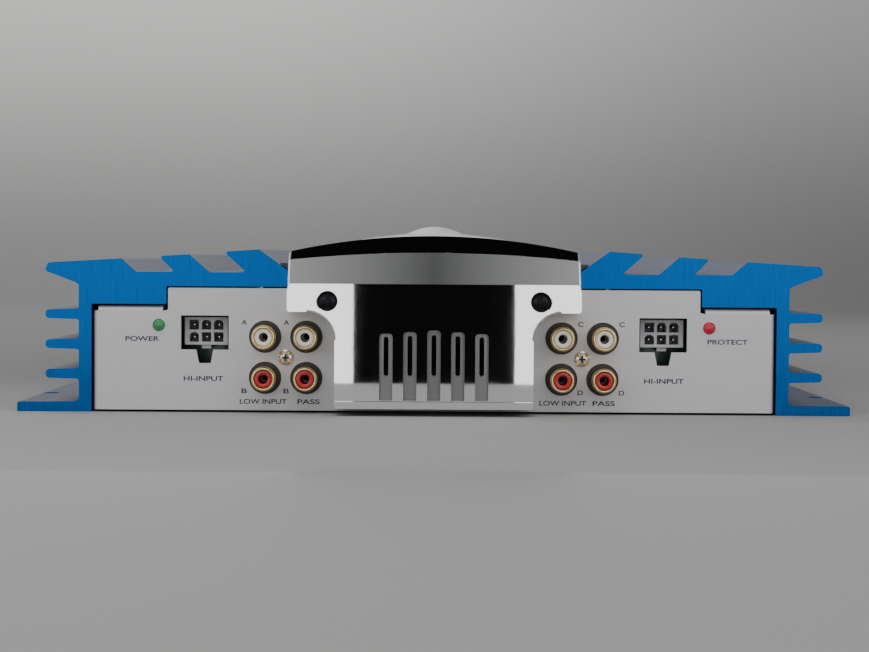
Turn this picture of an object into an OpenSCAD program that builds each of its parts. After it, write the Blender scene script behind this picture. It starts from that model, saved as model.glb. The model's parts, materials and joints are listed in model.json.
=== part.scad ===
// Four-channel car amplifier: an extruded, finned heatsink that is also the case,
// two folded end panels, a bright centre cover with two end caps, and the boards inside.
// X is across, Y is along (the signal-input end faces -Y), Z is up from the mounting face.

/* [Case] */
// Length of the extruded heatsink
case_l = 360; // [320:5:420]
// Width over the two mounting flanges
flange_w = 283; // [280:1:290]
// Thickness of the mounting flanges
flange_t = 3.5; // [3:0.1:4]
// Half of the width between the outer faces of the side walls
wall_out = 120.5; // [120:0.1:121]
// Half of the width between the inner faces of the side walls
wall_in = 116.2; // [116:0.1:116.6]
// Height of the underside of the top wall, over the boards
ceiling_z = 42.8; // [42.5:0.1:43.2]
// Height of the underside of the two thick upper corners
shoulder_z = 36.7; // [36.5:0.1:37]
// Half of the width between the two thick upper corners
shoulder_x = 90.8; // [90:0.1:91.5]
// Height of the floor of the top grooves
groove_z = 47.6; // [47.2:0.1:48]

/* [Fins and notches] */
// Tip of the side fins, from the middle
fin_tip_x = 131.8; // [128:0.1:134]
// Heights of the middles of the side fins
fin_z = [12.95, 23.05, 33.2];
// Thickness of a side fin at the wall
fin_root = 3.6; // [3:0.1:4]
// Thickness of a side fin at the tip
fin_tip = 2.9; // [2.4:0.1:3.2]
// Width of the open screw notches in the flange edges
notch_w = 5; // [4:0.1:6]
// Depth of the screw notches
notch_depth = 6.2; // [5:0.1:8]
// Distance of each notch from the end of the case
notch_from_end = 42; // [30:1:60]

/* [End panels] */
// Sheet thickness of the end panels
panel_t = 1.2; // [1:0.1:1.5]
// How far the panels sit behind the sawn end of the case
panel_inset = 0.3; // [0.2:0.1:0.6]
// Outside radius of the folded edges
fold_r = 1.8; // [1.6:0.1:2]
// Depth of the folded edges
fold_depth = 9; // [6:0.5:10]

/* [Centre cover] */
// Half width of the cover and of the upper part of the caps
cover_x = 49.1; // [48.5:0.1:49.5]
// Height of the crown of the cover
crown_z = 60.3; // [59.5:0.1:61]
// Radius of the arch across the cover
arch_r = 221; // [200:1:260]
// Wall thickness of the cover and caps
cover_t = 2; // [1.8:0.1:2.2]
// How far the caps stand out from the case
cap_out = 12; // [10:0.5:14]
// Half width of the lower part of the caps, between the jacks
cap_low_x = 33.2; // [32:0.1:34]
// Height of the corners cut out of the caps for the jacks
cap_cut_z = 34.7; // [34:0.1:35.5]
// Height of the lower fold line of the cap
crease_low_z = 44.1; // [43.5:0.1:45]
// Height of the upper fold line of the cap at the middle
crease_high_z = 54.6; // [54:0.1:55]

/* [Vents] */
// Distance between neighbouring vents
vent_pitch = 8; // [7.6:0.1:8.2]
// Width of a vent's channel
vent_w = 4.4; // [4:0.1:4.8]
// Width of the slit through the cap
slit_w = 1.6; // [1.4:0.1:2]

/* [Signal connectors] */
// Distance between neighbouring phono jacks
jack_pitch = 14; // [14:0.1:14.2]
// Middle of each group of four jacks, from the middle
jack_group_x = 50.3; // [50:0.1:50.6]
// Height of the middle of each group of jacks
jack_group_z = 18.85; // [18.5:0.05:19.2]
// Outside diameter of a jack's metal collar
jack_d = 8.3; // [8.2:0.05:8.4]
// How far the collars stand out from the panel
jack_out = 8.4; // [7.5:0.1:9]
// Middle of each speaker-level socket, from the middle
socket_x = 77.8; // [77.5:0.1:78.2]
// Height of the middle of the speaker-level sockets
socket_z = 27.5; // [27.2:0.1:27.8]
// Distance between neighbouring socket pins
pin_pitch = 4.2; // [4.2:0.1:4.3]
// Lamps, from the middle
lamp_x = 93.4; // [93:0.1:97]
// Height of the lamps
lamp_z = 29.6; // [29:0.1:31]

/* [Power end] */
// Distance between neighbouring power terminals
power_pitch = 13; // [12.5:0.1:13.2]
// Middle of the power terminals, seen from the power end
power_x = 72; // [71:0.5:73]
// Distance between neighbouring speaker terminals
speaker_pitch = 7; // [6.8:0.1:7]
// Middle of the speaker terminals, seen from the power end
speaker_x = -81; // [-82:0.5:-80]
// Distance between neighbouring controls
control_pitch = 11; // [10.6:0.1:11]
// Height of the row of controls
control_z = 28.5; // [28:0.1:29]
// Middle of the fuse holder, seen from the power end
fuse_x = 103; // [102.5:0.1:103.5]
// Distance between the two fuses
fuse_pitch = 8; // [7.8:0.1:8.2]

/* [Inside] */
// Height of the top of the base plate
base_top = 2.5; // [2.3:0.1:2.6]
// Height of the underside of the main board
board_z = 9.6; // [9.4:0.1:10]
// Outside diameter of the two ring transformers
ring_d = 46; // [40:1:48]
// Transistors on each side wall
transistor_pitch = 24; // [22:1:26]

/* [Hidden] */
$fn = 48;
eps = 0.01;

end_y = case_l / 2;
cap_front_y = -end_y - cap_out;
panel_y = -end_y + panel_inset;
panel_back = panel_inset + panel_t;
cap_join_y = -end_y + 12;
arch_fn = 240;
boss_r = 32;
dome_r = 12.8;
boss_gap = 0.12;
band_y = 4.6;
band_run = 8.4;
cap_foot_z = 2.5;
cap_corner_r = 9.6;
cover_low_z = 48.3;
vent_count = 5;
vent_low = 5.3;
vent_high = 28.8;
vent_depth = 2;
slit_low = 13.4;
slit_high = 27.1;
screw_head_d = 6.8;
screw_head_bore = 7.2;
screw_head_deep = 3.2;
band_r = 795;
side_gap = 0.5;
panel_x = wall_in - side_gap;
panel_low = 0.8;
lug_z = base_top + 0.1;
lug_x = 84;
relief_w = 1.8;
rail_in = 106.2;
base_x = wall_in - 0.4;
rail_top = 9;
screw_d = 3;
cap_screw = [35.7, 38.3];
cap_boss_r = 4;
ridge_h = 6;
board_t = 1.6;
board_top = board_z + board_t;
jack_hole_d = 11;
jack_back = 17.3;
insert_d = 6.2;
input_board_y = 17.6;
opening_w = 16.2;
opening_h = 11.6;
socket_face = 4.8;
socket_w = 14.7;
socket_h = 9.4;
cell_w = 3.3;
pin_d = 1.1;
boards_from_end = 22;
terminal_out = 9;
terminal_back = 20;
knob_d = 6;
control_count = 6;
control_mid_x = -80.5;
control_x = [
    for (i = [0 : control_count - 1])
    control_mid_x + (i - (control_count - 1) / 2) * control_pitch
];
fuse_w = 19.1;
fuse_t = 5;
fuse_z = 18;
clamp_y = [-96, -48, 0, 48, 96];
base_screw_y = [-150, -50, 50, 150];
standoff_xy = [for (x = [-84, 84], y = [-140, -48, 48, 140]) [x, y]];

// ---- Shared shapes ----

function unit(v) = v / norm(v);

// The points of one corner c of an outline, rounded to radius r
function corner_arc(p, c, n, r, steps = 6) =
    r == 0 ? [c] :
    let (
        a = unit(p - c), b = unit(n - c),
        half = acos(a * b) / 2,
        m = c + unit(a + b) * r / sin(half),
        s = c + a * r / tan(half), e = c + b * r / tan(half),
        start = atan2(s.y - m.y, s.x - m.x),
        swing = atan2(e.y - m.y, e.x - m.x) - start,
        turn = swing > 180 ? swing - 360 : swing < -180 ? swing + 360 : swing
    )
    [for (i = [0 : steps]) m + r * [cos(start + turn * i / steps), sin(start + turn * i / steps)]];

// An outline from corners written as [across, up, corner radius]
function rounded(corners) = [
    for (i = [0 : len(corners) - 1])
    let (
        k = len(corners),
        p = corners[(i + k - 1) % k], c = corners[i], n = corners[(i + 1) % k]
    )
    each corner_arc([p.x, p.y], [c.x, c.y], [n.x, n.y], c.z, c.z > 5 ? 18 : 6)
];

// Spans measured in from the end of the case, or from the face of the controls, or about a point
function from_end(a, b) = [a - end_y, b - end_y];
function from_control(a, b) = from_end(control_face + a, control_face + b);
function around(c, r) = [c - r, c + r];

// Draws its flat children upright, as a plate from y to y + t
module plate(y, t) translate([0, y + t, 0]) rotate([90, 0, 0]) linear_extrude(t) children();
// Draws its flat children upright and facing sideways, as a plate from x to x + t
module side_plate(x, t) translate([x, 0, 0]) rotate([90, 0, 90]) linear_extrude(t) children();
module both_sides() {
    children();
    mirror([1, 0, 0]) children();
}
// Puts the power end's pieces, drawn as if seen from that end, at +Y
module at_power_end() rotate([0, 0, 180]) children();
module rod(d, y, l) translate([0, y, 0]) rotate([-90, 0, 0]) cylinder(d = d, h = l);
module block(x, y, z) translate([x[0], y[0], z[0]]) cube([x[1] - x[0], y[1] - y[0], z[1] - z[0]]);

// A countersunk screw, point upwards, head face at z = 0, with a cross recess
module countersunk(l, d = screw_d) difference() {
    union() {
        cylinder(d1 = 2 * d, d2 = d, h = d / 2);
        cylinder(d = d, h = l);
    }
    cross_recess(0.9 * d);
}
module cross_recess(w, deep = 1) for (a = [0, 90]) rotate([0, 0, a])
    translate([-w / 2, -0.35, -eps]) cube([w, 0.7, deep]);
// A pan-head screw, point towards +Y, seat of the head at y = 0
module pan_screw(head_d, head_h, l, d = screw_d) rotate([-90, 0, 0]) difference() {
    union() {
        intersection() {
            translate([0, 0, -head_h]) cylinder(d = head_d, h = head_h);
            translate([0, 0, head_d * 0.75 - head_h]) sphere(d = head_d * 1.5);
        }
        cylinder(d = d, h = l);
    }
    translate([0, 0, -head_h]) cross_recess(0.46 * head_d, 0.6 * head_h);
}

// ---- Heatsink ----

function side_fin(z) = [
    [wall_out, z + fin_root / 2, 0.8], [fin_tip_x, z + fin_tip / 2, 1.3],
    [fin_tip_x, z - fin_tip / 2, 1.3], [wall_out, z - fin_root / 2, 0.8]
];
function ridge(x) = [
    [x - 1, groove_z, 0], [x - 1, groove_z + ridge_h, 0.3],
    [x + 1, groove_z + ridge_h, 0.3], [x + 1, groove_z, 0]
];
// The ridge under the top wall that the cap screws run into
function screw_boss(r) = [
    [cap_screw.x + r, ceiling_z, 0], [cap_screw.x + r, cap_screw.y - r, r - 0.02],
    [cap_screw.x - r, cap_screw.y - r, r - 0.02], [cap_screw.x - r, ceiling_z, 0]
];
// The whole outline from its right half
function mirrored(points) = concat(
    points, [for (i = [len(points) - 1 : -1 : 0]) [-points[i].x, points[i].y]]
);
module case_section() {
    polygon(mirrored(rounded([
        each ridge(6), each ridge(18), each ridge(30),
            [48.5, groove_z, 0.4], [59.5, 55.4, 0.5], [71.4, 54.6, 0.6],
        [63.6, groove_z, 0.5], [76.1, groove_z, 0.5], [83.1, 53.6, 0.5], [93.4, 53, 0.6],
        [88, groove_z, 0.5], [101, groove_z, 0.5], [106.1, 52.1, 0.6], [131, 50.6, 1],
        [132, 47.8, 1], [121.7, 44, 0.5], [wall_out, 43.3, 1.2],
        each side_fin(fin_z[2]), each side_fin(fin_z[1]), each side_fin(fin_z[0]),
        [wall_out, flange_t, 1.7], [flange_w / 2, flange_t - 0.2, 0.8], [flange_w / 2, 0, 0.4],
        [wall_in, 0, 0.3], [wall_in, base_top + 0.1, 0], [rail_in, base_top + 0.1, 0],
        [rail_in, rail_top, 0.5], [wall_in, rail_top, 0.5], [wall_in, shoulder_z, 0.5],
        [shoulder_x, shoulder_z, 0.4], [shoulder_x, ceiling_z, 0.4], each screw_boss(cap_boss_r)
    ])));
}
module heatsink() color("#0a62b0") difference() {
    plate(-end_y, case_l) difference() {
        case_section();
        both_sides() translate(cap_screw) circle(d = screw_d);
    }
    // room for the end panels, behind both sawn ends
    for (a = [0, 180]) rotate([0, 0, a]) {
        both_sides()
            block([rail_in - 1, wall_in], [-end_y - 1, -end_y + boards_from_end], [-1, rail_top + 1]);
        block([-shoulder_x, shoulder_x], [-end_y - 1, -end_y + panel_back + 0.1], [30, ceiling_z]);
    }
    // screw notches with round inner ends, open at the flange edges
    both_sides() for (y = [-1, 1] * (end_y - notch_from_end))
        translate([flange_w / 2 - notch_depth + notch_w / 2, y, -1]) {
            cylinder(d = notch_w, h = flange_t + 2);
            translate([0, -notch_w / 2, 0]) cube([notch_depth, notch_w, flange_t + 2]);
        }
    // holes for the base screws and the clamp-bar screws
    both_sides() for (y = base_screw_y) translate([111, y, 0]) cylinder(d = screw_d, h = 8);
    both_sides() for (y = clamp_y) translate([wall_in - 1, y, 23])
        rotate([0, 90, 0]) cylinder(d = screw_d + 0.06, h = 4.2);
}

// ---- Base ----

module base_plate() color("#303236") difference() {
    block(around(0, base_x), around(0, end_y - panel_back - 0.3), [1, base_top]);
    // corners cut away for the panels' side folds
    for (x = [-1, 1], y = [-1, 1]) translate([x * base_x, y * end_y, 0])
        cube([2 * (panel_t + 1.2), 2 * (fold_depth + 1), 10], center = true);
    both_sides() for (y = base_screw_y) translate([111, y, 1]) countersink();
    for (x = [-lug_x, lug_x], y = [-1, 1]) translate([x, y * (end_y - 6), 1]) countersink();
    for (p = standoff_xy) translate([p.x, p.y, 1]) countersink();
}
module countersink() {
    translate([0, 0, -eps]) cylinder(d1 = 2 * screw_d + 0.2, d2 = screw_d + 0.2, h = screw_d / 2);
    translate([0, 0, -eps]) cylinder(d = screw_d + 0.2, h = 3);
}
module base_screws() color("#202225") {
    both_sides() for (y = base_screw_y) translate([111, y, 1]) countersunk(6);
    for (x = [-lug_x, lug_x], y = [-1, 1]) translate([x, y * (end_y - 6), 1]) countersunk(4);
    for (p = standoff_xy) translate([p.x, p.y, 1]) countersunk(4.5);
}

// ---- End panels ----

// One folded edge: u is measured in from the outer face, v back from the panel face
module fold_section() polygon(rounded([
    [fold_r + 1, 0, 0], [0, 0, fold_r], [0, fold_depth, 0],
    [panel_t, fold_depth, 0], [panel_t, panel_t, fold_r - panel_t], [fold_r + 1, panel_t, 0]
]));
module panel_face() {
    top = ceiling_z - side_gap;
    low = shoulder_z - side_gap;
    difference() {
        both_sides() polygon(rounded([
            [-1, panel_low, 0], [panel_x - fold_r, panel_low, 0],
            [panel_x - fold_r, low - fold_r, 0], [shoulder_x + relief_w - side_gap, low - fold_r, 0],
            [shoulder_x - side_gap, low - fold_r + 0.4, 0], [shoulder_x - side_gap, top, 0.6], [-1, top, 0]
        ]));
        both_sides() translate(cap_screw) circle(d = screw_d + 0.4);
        for (i = [-2 : 2]) translate([i * vent_pitch - 1.2, slit_low - 0.4]) square([2.4, 14.5]);
    }
}
module folded_panel() {
    plate(panel_y, panel_t) panel_face();
    low = shoulder_z - side_gap;
    both_sides() {
        // side fold, clear of the base plate
        translate([panel_x, panel_y, panel_low]) linear_extrude(low - panel_low - fold_r)
            mirror([1, 0, 0]) fold_section();
        // fold under the thick upper corner
        translate([shoulder_x + relief_w - side_gap, panel_y, low])
            rotate([0, 90, 0]) linear_extrude(panel_x - shoulder_x - relief_w + side_gap - fold_r)
            fold_section();
    }
    // lugs that the base screws hold
    difference() {
        for (x = [-lug_x, lug_x])
            block([x - 6, x + 6], [panel_y + panel_t - eps, -end_y + 11], [lug_z, lug_z + panel_t]);
        for (x = [-lug_x, lug_x]) translate([x, -end_y + 6, 0]) cylinder(d = screw_d, h = 6);
    }
}
module socket_opening() polygon([
    [-opening_w / 2, -opening_h / 2 - 0.4], [-2.9, -opening_h / 2 - 0.4], [-2, -10.8], [2, -10.8],
    [2.9, -opening_h / 2 - 0.4], [opening_w / 2, -opening_h / 2 - 0.4],
    [opening_w / 2, opening_h / 2 - 0.4], [-opening_w / 2, opening_h / 2 - 0.4]
]);
module each_jack() for (s = [-1, 1], i = [-0.5, 0.5], j = [-0.5, 0.5])
    translate([s * jack_group_x + i * jack_pitch, 0, jack_group_z + j * jack_pitch]) children();
module jack_row(up) for (s = [-1, 1], i = [-0.5, 0.5])
    translate([s * jack_group_x + i * jack_pitch, 0, jack_group_z + up * jack_pitch / 2]) children();
module front_panel() color("#a9a9ad") difference() {
    folded_panel();
    each_jack() rod(jack_hole_d, panel_y - 1, panel_t + 2);
    both_sides() {
        translate([jack_group_x, 0, jack_group_z]) rod(screw_d + 0.2, panel_y - 1, panel_t + 2);
        translate([lamp_x, 0, lamp_z]) rod(4.2, panel_y - 1, panel_t + 2);
        plate(panel_y - 1, panel_t + 2) translate([socket_x, socket_z]) socket_opening();
    }
}
module rear_panel() color("#a9a9ad") at_power_end() difference() {
    folded_panel();
    y = [panel_y - 1, panel_y + panel_t + 1];
    block([power_x - 20.9, power_x + 20.9], y, [5.6, 22.4]);
    block([speaker_x - 29.9, speaker_x + 29.9], y, [5.6, 19.4]);
    block([fuse_x - 8.4, fuse_x + 8.4], y, [5.6, 30.4]);
    for (i = [0, 1, 4, 5]) translate([control_x[i], 0, control_z]) rod(knob_d + 1, y[0], 4);
    for (i = [2, 3]) block(around(control_x[i], 3.8), y, around(control_z, 1.6));
}

// ---- Centre cover and caps ----

// A slab as wide as the cover under an arch of radius r, sloping up at a degrees through [y, z]
module arched_slab(y, z, a, r, d) translate([0, y, z]) rotate([a, 0, 0]) translate([0, 0, -r])
    rotate([-90, 0, 0]) cylinder(r = r - d, h = 2 * case_l, center = true, $fn = arch_fn);
// The cap's outer surface, moved in by d: crown, sloping band, second band, upright face
module cap_skin(d) intersection() {
    block([d - cover_x, cover_x - d], [cap_front_y + d, cap_join_y], [0, 70]);
    arched_slab(0, crown_z, 0, arch_r, d);
    arched_slab(cap_front_y + band_y, crease_high_z, atan((crown_z - crease_high_z) / band_run), band_r, d);
    translate([0, cap_front_y, crease_low_z]) rotate([atan((crease_high_z - crease_low_z) / band_y), 0, 0])
        block([-80, 80], [-80, 80], [-90, -d]);
}
// Front outline of the cap, moved in by d: narrow between the jacks, wide above them
module cap_outline(d) {
    polygon(rounded([
        [-cap_low_x + d, cap_foot_z, 0.5], [-cap_low_x + d, cap_cut_z + d, cap_corner_r - d],
        [-cover_x + d, cap_cut_z + d, 1], [-cover_x + d, 70, 0], [cover_x - d, 70, 0],
        [cover_x - d, cap_cut_z + d, 1], [cap_low_x - d, cap_cut_z + d, cap_corner_r - d],
        [cap_low_x - d, cap_foot_z, 0.5]
    ]));
}
module vent_outline(w, low, high, r) polygon(rounded([
    [-w / 2, low, 0], [w / 2, low, 0], [w / 2, high, r], [-w / 2, high, r]
]));
module slit_outline(w, low, high) {
    translate([-w / 2, low + w / 2]) square([w, high - low - w]);
    for (z = [low + w / 2, high - w / 2]) translate([0, z]) circle(d = w);
}
module cap_blank(d) intersection() {
    cap_skin(d);
    plate(cap_front_y - 1, cap_out + 20) cap_outline(d);
}
module cap() {
    difference() {
        cap_blank(0);
        difference() {
            translate([0, eps, 0]) cap_blank(cover_t);
            // posts for the cap screws
            both_sides() translate([cap_screw.x, 0, cap_screw.y]) rod(2 * cap_boss_r, cap_front_y, cap_out);
            // backs of the vent channels
            block(around(0, vent_count / 2 * vent_pitch), [cap_front_y, cap_front_y + 3.6],
                [2, vent_high + 1.2]);
        }
        // over the case only the roof is left
        block([-60, 60], [-end_y - 0.1, cap_join_y + 1], [-1, cover_low_z]);
        for (i = [-2 : 2]) {
            drop = 0.6 * abs(i);
            translate([i * vent_pitch, 0, 0]) {
                plate(cap_front_y - 1, vent_depth + 1) vent_outline(vent_w, vent_low, vent_high - drop, 1.2);
                plate(cap_front_y - 1, 6) slit_outline(slit_w, slit_low, slit_high - drop / 2);
            }
        }
        both_sides() translate([cap_screw.x, 0, cap_screw.y]) {
            rod(screw_d + 0.4, cap_front_y - 1, cap_out + 2);
            rod(screw_head_bore, cap_front_y - 1, screw_head_deep);
        }
    }
    // foot lip along the bottom of the face
    plate(cap_front_y - 1.2, 2) polygon(rounded([
        [-cap_low_x, cap_foot_z, 0.5], [cap_low_x, cap_foot_z, 0.5],
        [cap_low_x, cap_foot_z + 2.4, 0.5], [-cap_low_x, cap_foot_z + 2.4, 0.5]
    ]));
    // tongue under the end of the cover, and its thicker root
    plate(cap_join_y - 3, 9) cover_section(cover_t + 0.1, 1.2);
    plate(cap_join_y - 3, 2.9) cover_section(cover_t - 0.5, 1.8);
}
// Arched channel section, moved in by d and t thick
module cover_section(d, t) difference() {
    arch_section(cover_x - d, d, cover_low_z);
    arch_section(cover_x - d - t, d + t, 47);
}
module arch_section(x, d, low) intersection() {
    translate([-x, low]) square([2 * x, 20]);
    translate([0, crown_z - arch_r]) circle(r = arch_r - d, $fn = arch_fn);
}
module front_cap() color("#d8dade") cap();
module rear_cap() color("#d8dade") at_power_end() cap();
module top_cover() color("#d8dade") difference() {
    plate(cap_join_y + 0.1, -2 * cap_join_y - 0.2) cover_section(0, cover_t);
    cylinder(d = 12.2, h = 100);
}
// Flared, domed boss that sits on the arch of the cover, with a spigot through it
module cover_boss() color("#d8dade") {
    difference() {
        rotate_extrude() polygon([
            [0, crown_z - 4], [boss_r, crown_z - 4],
            for (i = [0 : 14]) let (r = boss_r * (1 - i / 14)) [r, boss_height(r)]
        ]);
        arched_slab(0, crown_z, 0, arch_r, -boss_gap);
    }
    translate([0, 0, crown_z - 4]) cylinder(d = 12, h = 5);
}
function boss_height(r) = crown_z + 0.3 + 3 * (1 - pow(r / boss_r, 2))
    + (r < dome_r ? 2.7 * pow(1 - pow(r / dome_r, 2), 1.3) : 0);
// Soft strips between the edges of the cover and the inmost fins
module cover_seals() color("#18191b") both_sides()
    plate(cap_join_y - 11.5, -2 * cap_join_y + 23) polygon([
        [cover_x + 0.05, 48.4], [cover_x + 0.05, 50.9], [52.4, 50.9], [52.2, 50.6]
    ]);
module cap_screws() color("#141517") for (a = [0, 180]) rotate([0, 0, a]) both_sides()
    translate([cap_screw.x, cap_front_y + screw_head_deep - 1, cap_screw.y])
        pan_screw(screw_head_d, 2.2, 24);

// ---- Phono jacks ----

module jack_block(s) color("#18191b") difference() {
    union() {
        translate([s * jack_group_x, 0, jack_group_z])
            block([-14, 14], [-end_y + panel_back + 0.05, -end_y + jack_back], [-14, 14]);
        for (i = [-0.5, 0.5], j = [-0.5, 0.5])
            translate([s * jack_group_x + i * jack_pitch, 0, jack_group_z + j * jack_pitch])
            rod(jack_hole_d - 0.2, panel_y + 0.4, 6);
    }
    each_jack() {
        rod(jack_d - 1.1, panel_y, 14);
        rod(2.3, panel_y, 20);
    }
    translate([s * jack_group_x, 0, jack_group_z]) rod(screw_d, panel_y, 12);
}
module jack_block_left() jack_block(-1);
module jack_block_right() jack_block(1);
module jack_collars() color("#c9a24a") each_jack() difference() {
    union() {
        rod(jack_d, panel_y - jack_out, jack_out);
        rod(jack_d - 1.2, panel_y, 13.3);
    }
    rod(insert_d, panel_y - jack_out - 1, jack_out + 3);
    rod(5, panel_y, 14);
}
module insert() difference() {
    union() {
        rod(insert_d - 0.1, panel_y - jack_out + 0.5, jack_out + 1);
        rod(4.9, panel_y, 12);
    }
    rod(3.1, panel_y - jack_out - 1, jack_out + 3);
    rod(2.2, panel_y, 14);
}
module white_inserts() color("#e6e3da") jack_row(1) insert();
module red_inserts() color("#c0262c") jack_row(-1) insert();
module jack_contacts() color("#b8923f") each_jack() difference() {
    rod(2.1, panel_y + 2.2, input_board_y + board_t - 1.5);
    rod(1.3, panel_y + 1, 4);
}
module jack_screws() color("#c9c5bd") both_sides()
    translate([jack_group_x, panel_y, jack_group_z]) pan_screw(5.2, 1.5, 9);

// ---- Speaker-level input sockets ----

// One cell, r rounds its two upper corners
module socket_cell(r) polygon(rounded([
    [-cell_w / 2, -cell_w / 2, 0.1], [cell_w / 2, -cell_w / 2, 0.1],
    [cell_w / 2, cell_w / 2, r], [-cell_w / 2, cell_w / 2, r]
]));
// Corner radius of each cell, lower row then upper row; it keys the plug
cell_rounding = [[1.4, 0.1, 0.1], [0.1, 1.4, 1.4]];
module input_socket(s) color("#8b8d91") {
    face = -end_y + socket_face;
    deep = input_board_y - socket_face - 0.1;
    translate([s * socket_x, 0, socket_z]) {
        difference() {
            block([-socket_w / 2, socket_w / 2], [face, face + deep], [-socket_h / 2, socket_h / 2]);
            for (i = [-1 : 1], j = [0, 1]) translate([i * pin_pitch, 0, (j - 0.5) * pin_pitch]) {
                plate(face - 1, 10) socket_cell(cell_rounding[j][i + 1]);
                rod(pin_d + 0.1, face, 20);
            }
        }
        block([-1.6, 1.6], [face + 0.6, face + 8], [-socket_h / 2 - 1.3, -socket_h / 2]);
    }
}
module input_socket_left() input_socket(-1);
module input_socket_right() input_socket(1);
module socket_pins() color("#c4c6c8") both_sides() for (i = [-1 : 1], j = [-0.5, 0.5])
    translate([socket_x + i * pin_pitch, -end_y + socket_face + 2, socket_z + j * pin_pitch])
    rotate([-90, 0, 0]) {
        cylinder(d1 = 0.5, d2 = pin_d, h = 0.6);
        translate([0, 0, 0.6]) cylinder(d = pin_d, h = input_board_y - socket_face + 0.4);
    }

// ---- Lamps ----

module lamp(x) translate([x, 0, lamp_z]) {
    rod(3.9, panel_y + 0.2, 5);
    intersection() {
        translate([0, panel_y + 0.6, 0]) sphere(d = 3.9);
        block([-3, 3], [panel_y - 4, panel_y + 0.4], [-3, 3]);
    }
    rod(4.9, panel_y + panel_t + 0.3, 1);
    for (s = [-1, 1]) translate([s * 1.27, 0, 0])
        block([-0.25, 0.25], [panel_y + 5, -end_y + input_board_y + 2.4], [-0.25, 0.25]);
}
module power_lamp() color("#35b36a") lamp(-lamp_x);
module protect_lamp() color("#d03a4a") lamp(lamp_x);

// ---- Boards ----

module input_board() color("#1f6b46") difference() {
    block([-100, 100], from_end(input_board_y, input_board_y + board_t), [12.6, 33.8]);
    y = -end_y + input_board_y - 1;
    each_jack() rod(2.3, y, 4);
    both_sides() {
        for (i = [-1 : 1], j = [-0.5, 0.5])
            translate([socket_x + i * pin_pitch, 0, socket_z + j * pin_pitch]) rod(1.7, y, 4);
        for (s = [-1, 1]) translate([lamp_x + s * 1.27, 0, lamp_z]) rod(0.9, y, 4);
    }
}
// Right-angle header between the input board and the main board
module board_link() color("#202124") {
    y = -end_y + input_board_y + board_t;
    block([-30, 30], [y + 0.05, y + 9], [board_top + 0.05, board_top + 6]);
}
module main_board() color("#1f6b46") difference() {
    block([-wall_in + 1.2, wall_in - 1.2], [-1, 1] * (end_y - boards_from_end), [board_z, board_top]);
    for (p = standoff_xy) translate([p.x, p.y, board_z - 1]) cylinder(d = screw_d + 0.2, h = 4);
    for (s = [-1, 1]) transistor_places(s) leads(1.1, 0.4);
}
module standoffs() color("#c2a55a")
    for (p = standoff_xy) translate([p.x, p.y, base_top + 0.02]) difference() {
    cylinder(d = 6, h = board_z - base_top - 0.04, $fn = 6);
    translate([0, 0, -1]) cylinder(d = screw_d, h = 10);
}
module board_screws() color("#b9bbbe") for (p = standoff_xy)
    translate([p.x, p.y, board_top]) rotate([-90, 0, 0]) pan_screw(5.6, 2, 4.6);

// ---- Supply and output stages ----

ring_y = [-8, 52];
module ring_cores() color("#3a3c40") for (y = ring_y) translate([0, y, board_top + 2.1])
    ring(ring_d - 6, ring_d * 0.52, 17);
module ring(outer, inner, h) difference() {
    cylinder(d = outer, h = h);
    translate([0, 0, -1]) cylinder(d = inner, h = h + 2);
}
module ring_windings() color("#b5662e") for (y = ring_y) translate([0, y, board_top + 0.05]) difference() {
    rotate_extrude() polygon(rounded([
        [ring_d * 0.26 - 3, 0, 3], [ring_d / 2, 0, 3], [ring_d / 2, 21, 3], [ring_d * 0.26 - 3, 21, 3]
    ]));
    translate([0, 0, 2]) ring(ring_d - 5.8, ring_d * 0.52 - 0.2, 17.2);
}
module can(d, h) {
    rotate_extrude() polygon(rounded([
        [0, 0, 0], [d / 2, 0, 0.8], [d / 2, 2.2, 0.4], [d / 2 - 0.6, 3, 0.4],
        [d / 2, 3.8, 0.4], [d / 2, h, 0.8], [0, h, 0]
    ]));
}
module filter_capacitors() color("#24345e") for (x = [-63, -42, -21, 0], y = [96, 122])
    translate([x, y, board_top + 0.05]) can(18, 22);
module rail_capacitors() color("#1b1c20") for (x = [-54, -18, 18, 54], y = [-92, -62])
    translate([x, y, board_top + 0.05]) can(22, 28);
module supply_choke() color("#b5662e") translate([40, 112, board_top + 0.05]) rotate_extrude()
    polygon(rounded([[5, 0, 2.5], [16, 0, 2.5], [16, 12, 2.5], [5, 12, 2.5]]));
module transistor_places(s) for (i = [-3.5 : 3.5])
    translate([s * (wall_in - 0.35), i * transistor_pitch, board_top])
        mirror([s < 0 ? 1 : 0, 0, 0]) children();
module leads(w, t) for (j = [-1 : 1]) block([-3.1 - t, -2.5 + t], around(j * 2.54, w / 2), [-2, 5.5]);
module transistor() {
    block([-1.3, 0], [-5, 5], [5, 20]);
    block([-4.5, -1.2], [-5, 5], [5, 14]);
    leads(0.8, 0);
}
module supply_transistors() color("#1a1a1c") transistor_places(-1) transistor();
module output_transistors() color("#1a1a1c") transistor_places(1) transistor();
module insulator_strips() color("#b9c7c9") both_sides() difference() {
    block([wall_in - 0.32, wall_in - 0.02], [-108, 108], [board_top + 2, board_top + 23]);
    for (y = clamp_y) translate([wall_in - 1, y, 23]) rotate([0, 90, 0]) cylinder(d = screw_d + 0.2, h = 3);
}
module clamp_bars() color("#9a9da1") both_sides() difference() {
    block([wall_in - 8, wall_in - 4.9], [-104, 104], [18, 25]);
    for (y = clamp_y) translate([wall_in - 9, y, 23]) rotate([0, 90, 0]) cylinder(d = screw_d + 0.2, h = 6);
}
module clamp_screws() color("#b9bbbe") both_sides() for (y = clamp_y)
    translate([wall_in - 8, y, 23]) rotate([0, 0, -90]) pan_screw(5.6, 2, 10.8);
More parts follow.
